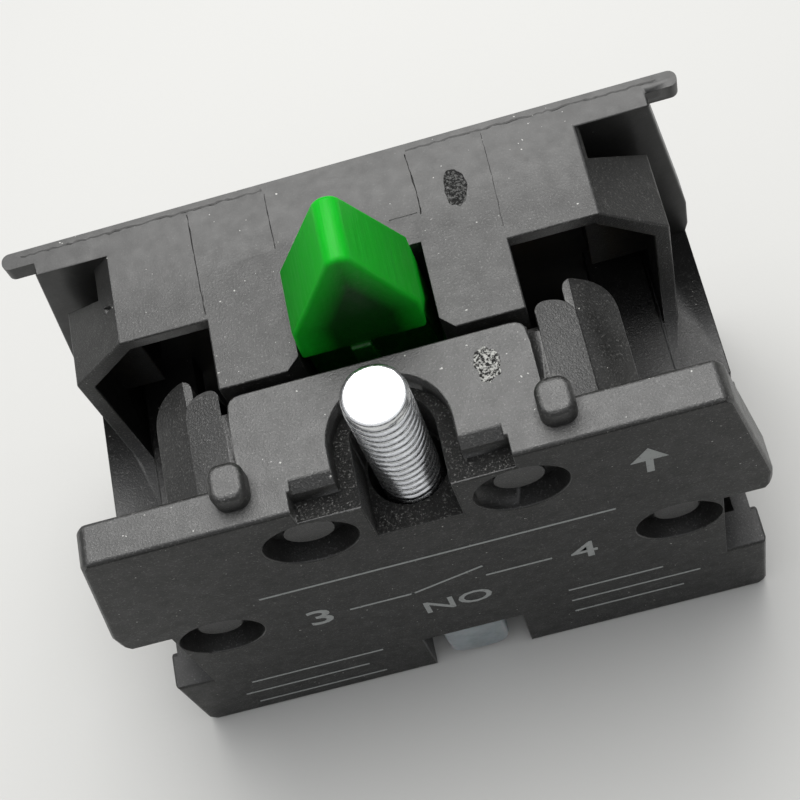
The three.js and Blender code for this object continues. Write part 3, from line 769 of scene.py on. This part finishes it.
def lettering(bm, words, left, right, low, high):
    """Raised letters that fill a field of the printed face, as (x, z) limits."""
    curve = bpy.data.curves.new("words", "FONT")
    curve.body = words
    curve.resolution_u = 3
    curve.extrude = 0.01
    curve.offset = 0.010
    typed = bpy.data.objects.new("words", curve)
    bpy.context.scene.collection.objects.link(typed)
    mesh = bpy.data.meshes.new_from_object(typed.evaluated_get(bpy.context.evaluated_depsgraph_get()))
    letters = bmesh.new()
    letters.from_mesh(mesh)
    bmesh.ops.remove_doubles(letters, verts=letters.verts, dist=1e-5)
    spots = [v.co for v in letters.verts]
    ends = [(min(c[i] for c in spots), max(c[i] for c in spots)) for i in range(3)]
    field = ((left, right), (low, high), (FRONT + 0.05, FRONT - INK_THICKNESS))
    for vert in letters.verts:
        x, z, y = (
            start + (vert.co[i] - least) / (most - least) * (end - start)
            for i, ((least, most), (start, end)) in enumerate(zip(ends, field))
        )
        vert.co = (x, y, z)
    bmesh.ops.recalc_face_normals(letters, faces=letters.faces)
    letters.to_mesh(mesh)
    letters.free()
    bm.from_mesh(mesh)
    bpy.data.objects.remove(typed)
    bpy.data.curves.remove(curve)
    bpy.data.meshes.remove(mesh)


def make_print(material):
    """Generic print: terminal numbers, the sign of a normally open contact, an arrow and plain rules."""
    bm = bmesh.new()
    rule = 0.22
    bar(bm, -11.0, 11.0, 20.6, 20.6 + rule)
    # Terminal numbers on either side of the contact, whose blade stands open
    line, open_by = 15.2, 1.7
    lettering(bm, "3", -9.2, -7.7, line - 1.3, line + 1.3)
    lettering(bm, "4", 7.7, 9.4, line - 1.3, line + 1.3)
    stroke(bm, [(-6.4, line), (-2.4, line)], rule)
    stroke(bm, [(-2.4, line), (2.2, line + open_by)], rule)
    stroke(bm, [(2.4, line), (6.4, line)], rule)
    lettering(bm, "NO", -2.2, 2.2, 10.9, 13.0)
    # Note lines on either side of the clip, without any words
    for left, right, low in ((-15.4, -6.2, 6.0), (-16.4, -7.6, 3.8), (-16.0, -6.8, 1.6)):
        bar(bm, left, right, low, low + rule)
    for left, right, low in ((6.9, 13.2, 8.4), (6.9, 15.6, 6.2), (6.9, 14.4, 4.0)):
        bar(bm, left, right, low, low + rule)
    # Arrow towards the side that is pressed
    middle, foot, neck, point = 13.4, 25.0, 26.7, 28.4
    bar(bm, middle - rule, middle + rule, foot, neck)
    arrowhead = [(middle - 1.1, neck), (middle + 1.1, neck), (middle, point)]
    prism(bm, arrowhead, "y", FRONT - INK_THICKNESS, FRONT + 0.05)
    piece = store(bm, "front_print", material, smooth=False)
    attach(piece, "shell")


# ---------------------------------------------------------------- carried-over CAD nodes


def dress(node, material, width, angle=30):
    """Gives a CAD node its finish and, by modifiers, rounded edges."""
    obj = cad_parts[node]
    obj.data.materials.clear()
    obj.data.materials.append(material)
    weld = obj.modifiers.new("weld", "WELD")
    weld.merge_threshold = 0.002 * MM
    flat = obj.modifiers.new("whole_faces", "DECIMATE")
    flat.decimate_type = "DISSOLVE"
    flat.angle_limit = math.radians(0.5)
    bevel = obj.modifiers.new("rounded_edges", "BEVEL")
    bevel.width = width * MM
    bevel.segments = 2
    bevel.limit_method = "ANGLE"
    bevel.angle_limit = math.radians(angle)
    weigh = obj.modifiers.new("even_normals", "WEIGHTED_NORMAL")
    weigh.keep_sharp = True


# ---------------------------------------------------------------- the object

make_camera()
floor_paper = paper()
make_stage(floor_paper)
make_light()

housing_black = black_plastic("housing_black", 1.0, shine=0.66)
cover_black = black_plastic("cover_black", 1.15, shine=0.88)
face_black = black_plastic("printed_face_black", 0.4, shine=0.22, roughness=0.45)
# The arched recess's eroded finish, with stronger painted glints in its grain
eroded_black = black_plastic("eroded_black", 7.0, shine=0.7, roughness=0.36, dusty=False, glint=24)
gate_dark = torn_plastic("gate_rough_dark", (0.002, 0.002, 0.002), (0.10, 0.10, 0.098), 0.52)
gate_light = torn_plastic("gate_rough_light", (0.006, 0.006, 0.006), (0.42, 0.42, 0.40), 0.50)
green = green_plastic()
nylon = white_nylon()
zinc = metal("bright_zinc", (0.87, 0.88, 0.89), 0.22)
spring_steel = metal("spring_steel", (0.46, 0.45, 0.44), 0.34)
brass = metal("brass_strip", (0.72, 0.50, 0.22), 0.30, tarnish=(0.50, 0.33, 0.15))
silver = metal("silver_face", (0.86, 0.86, 0.84), 0.24)
ink = print_ink()

make_housing(housing_black)
make_cover(cover_black, face_black, eroded_black)
rough_patch("gate_mark_rear", 6.8, 6.7, TOP, 0.72, 1.35, 0.035, gate_dark, 5.0)
rough_patch("gate_mark_cover", 6.1, -4.9, TOP, 0.75, 1.2, 0.03, gate_light, 9.0)
smooth_cad_copy("plunger", "plunger_wedge", green, "plunger", 0.35, plunger_width, lean)
smooth_cad_copy("screw_retainer", "retainer_clip", nylon, "shell", 0.3, clip_width)
make_print(ink)

make_bolt("mounting_screw", "mounting_bolt", zinc, "mounting_screw",
          (0.9, 3.2), 2.3, 1.4, (5.9, SCREW_HIGH.z), 1.93, 0.7)
for side_name, _ in SIDES:
    terminal = f"terminal_screw_{side_name}"
    make_bolt(terminal, f"terminal_bolt_{side_name}", zinc, terminal,
              (3.4, 5.9), 2.7, 1.45, (5.95, 12.3), 1.75, 0.6)
    dress(f"bridge_tip_{side_name}", silver, 0.08)
    dress(f"fixed_tip_{side_name}", silver, 0.08)
    dress(f"fixed_contact_{side_name}", brass, 0.1)
    dress(f"lock_washer_{side_name}", spring_steel, 0.08)
    dress(f"wire_clamp_{side_name}", zinc, 0.1)
dress("contact_bridge", brass, 0.1)
dress("screw_washer", spring_steel, 0.06)

make_spring("return_spring", "return_coil", spring_steel, "shell", 0.25, 6)
make_spring("contact_spring", "contact_coil", spring_steel, "plunger", 0.2, 6)
